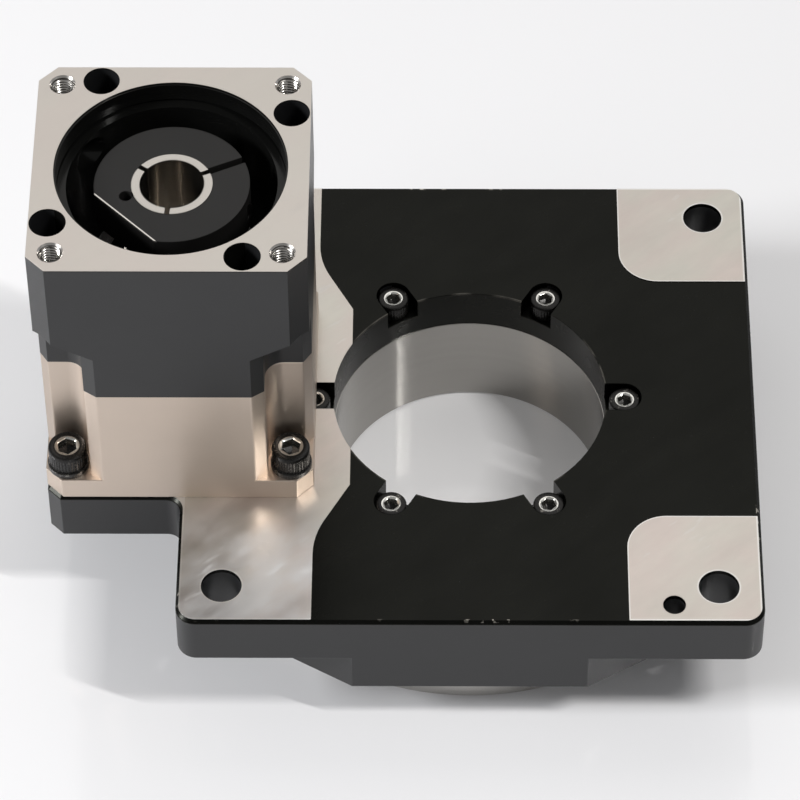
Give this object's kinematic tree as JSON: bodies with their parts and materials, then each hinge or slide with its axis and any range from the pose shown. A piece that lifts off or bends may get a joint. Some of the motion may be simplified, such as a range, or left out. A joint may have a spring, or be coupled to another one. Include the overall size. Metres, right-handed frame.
{
  "type": "hollow rotary actuator",
  "caption": "Hollow rotary table driven by a planetary gearbox with a clamp coupling and square motor flange, on a mounting plate.",
  "frame": {"origin": "centre of the turntable's face, on the axis of the hollow bore", "axes": "+Z from the turntable's face through the hollow bore to the motor flange, -X towards the gearbox"},
  "size_m": [0.16, 0.13, 0.1124],
  "materials": {
    "black_anodised": "black anodised aluminium with bright machined pads",
    "nickel_body": "nickel finish, satin",
    "machined_steel": "turned steel",
    "bright_aluminium": "turned aluminium",
    "gear_steel": "hardened and ground",
    "black_screw": "black oxide",
    "spring_steel": "spring steel",
    "collar_black": "black oxide, satin",
    "nitrile_rubber": "moulded",
    "plug_plastic": "moulded"
  },
  "bodies": {
    "housing": {"housing": "black_anodised", "hub_ring": "machined_steel", "hub_screws": "black_screw", "hub_lock_ring": "gear_steel", "bearing_inner_ring": "gear_steel", "table_seal": "nitrile_rubber", "gearbox_body": "nickel_body", "gearbox_screws": "black_screw", "gearbox_washers": "spring_steel", "planet_ring_gear": "gear_steel", "output_seal": "nitrile_rubber", "output_bearing_outer": "gear_steel", "input_bearing_outer": "gear_steel", "input_seal": "nitrile_rubber", "input_circlip": "spring_steel", "adapter_block": "black_anodised", "adapter_screws": "black_screw", "access_plug": "plug_plastic"},
    "table": {"turntable": "bright_aluminium", "bearing_outer_ring_lower": "gear_steel", "bearing_outer_ring_upper": "gear_steel", "table_gear": "gear_steel", "table_gear_screws": "black_screw"},
    "rollers": {"crossed_rollers": "gear_steel"},
    "output": {"planet_carrier": "gear_steel", "carrier_cover": "gear_steel", "planet_pins": "gear_steel", "pinion": "gear_steel", "pinion_key": "gear_steel", "pinion_screw": "black_screw", "output_bearing_inner": "gear_steel", "output_bearing_balls": "gear_steel"},
    "planet_1": {"planet_gear_1": "gear_steel"},
    "planet_2": {"planet_gear_2": "gear_steel"},
    "planet_3": {"planet_gear_3": "gear_steel"},
    "input": {"input_shaft": "machined_steel", "sun_gear": "gear_steel", "clamp_collar": "collar_black", "clamp_screw": "black_screw", "input_bearing_inner": "gear_steel", "input_bearing_balls": "gear_steel"}
  },
  "joints": [
    {"name": "table_spin", "type": "hinge", "parent": "housing", "child": "table", "pos_m": [0, 0, 0], "axis": [0, 0, 1], "continuous": true},
    {"name": "roller_roll", "type": "hinge", "parent": "housing", "child": "rollers", "pos_m": [0, 0, 0], "axis": [0, 0, 1], "continuous": true},
    {"name": "output_spin", "type": "hinge", "parent": "housing", "child": "output", "pos_m": [-0.065, 0, 0], "axis": [0, 0, 1], "continuous": true},
    {"name": "input_spin", "type": "hinge", "parent": "housing", "child": "input", "pos_m": [-0.065, 0, 0], "axis": [0, 0, 1], "continuous": true},
    {"name": "planet_1_spin", "type": "hinge", "parent": "output", "child": "planet_1", "pos_m": [-0.065, 0.015, 0], "axis": [0, 0, 1], "continuous": true},
    {"name": "planet_2_spin", "type": "hinge", "parent": "output", "child": "planet_2", "pos_m": [-0.07799, -0.0075, 0], "axis": [0, 0, 1], "continuous": true},
    {"name": "planet_3_spin", "type": "hinge", "parent": "output", "child": "planet_3", "pos_m": [-0.05201, -0.0075, 0], "axis": [0, 0, 1], "continuous": true}
  ],
  "couplings": [
    {"joint": "roller_roll", "follows": "table_spin", "ratio": 0.5},
    {"joint": "output_spin", "follows": "table_spin", "ratio": -5.5},
    {"joint": "input_spin", "follows": "table_spin", "ratio": -22},
    {"joint": "planet_1_spin", "follows": "table_spin", "ratio": 16.5},
    {"joint": "planet_2_spin", "follows": "table_spin", "ratio": 16.5},
    {"joint": "planet_3_spin", "follows": "table_spin", "ratio": 16.5}
  ]
}
